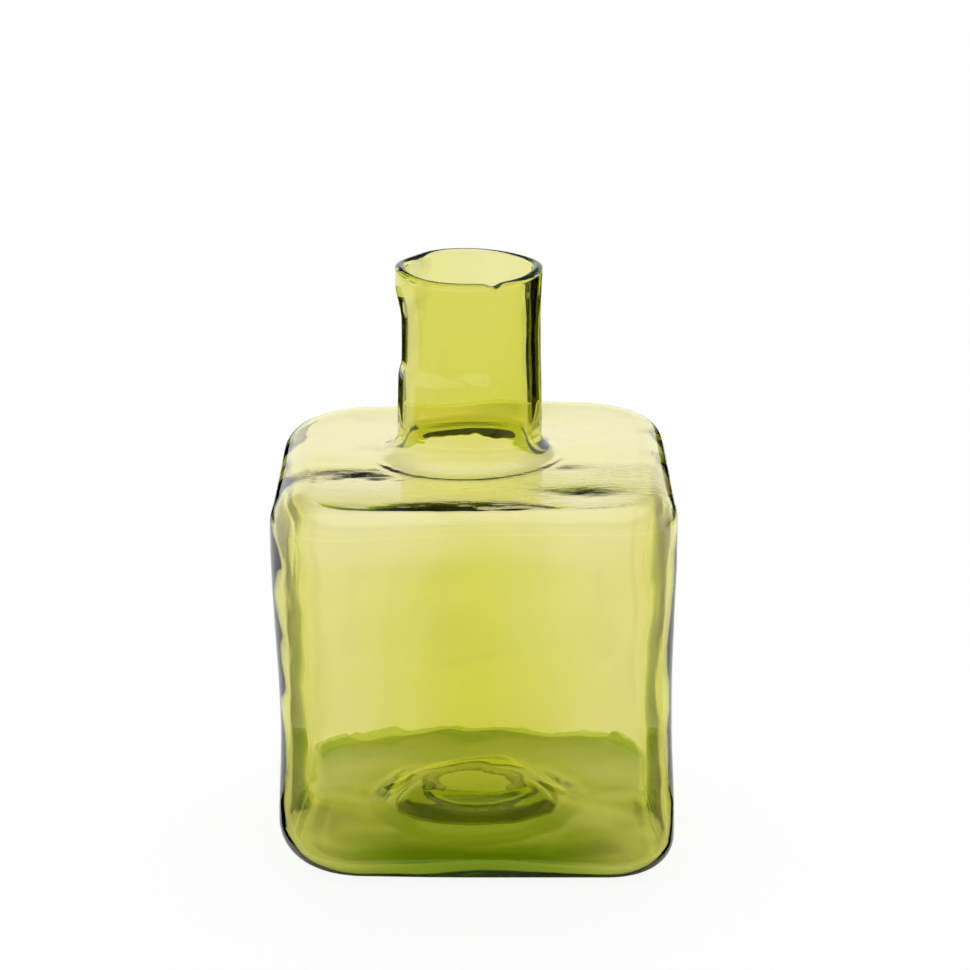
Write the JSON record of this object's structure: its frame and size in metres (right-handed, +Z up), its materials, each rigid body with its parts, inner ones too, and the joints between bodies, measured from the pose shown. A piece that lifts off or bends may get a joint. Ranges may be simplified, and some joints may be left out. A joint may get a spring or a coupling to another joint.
{
  "type": "glass bud vase",
  "caption": "Square blown-glass bud vase in yellow-green, with rounded edges, a flat shoulder, a short round neck set slightly off centre and a pushed-up base.",
  "frame": {"origin": "on the table, under the middle of the square body", "axes": "+Z up along the neck, -Y out of the front wall, +X to the right of the front wall"},
  "size_m": [0.0814, 0.0814, 0.1183],
  "materials": {
    "green_glass": "clear yellow-green blown glass, fire-polished, gently wavy",
    "scar_glass": "the same glass, broken off and left rough"
  },
  "bodies": {
    "root": {"base": "green_glass", "body": "green_glass", "shoulder": "green_glass", "neck": "green_glass", "lip": "green_glass", "pontil_scar": "scar_glass"}
  },
  "joints": []
}
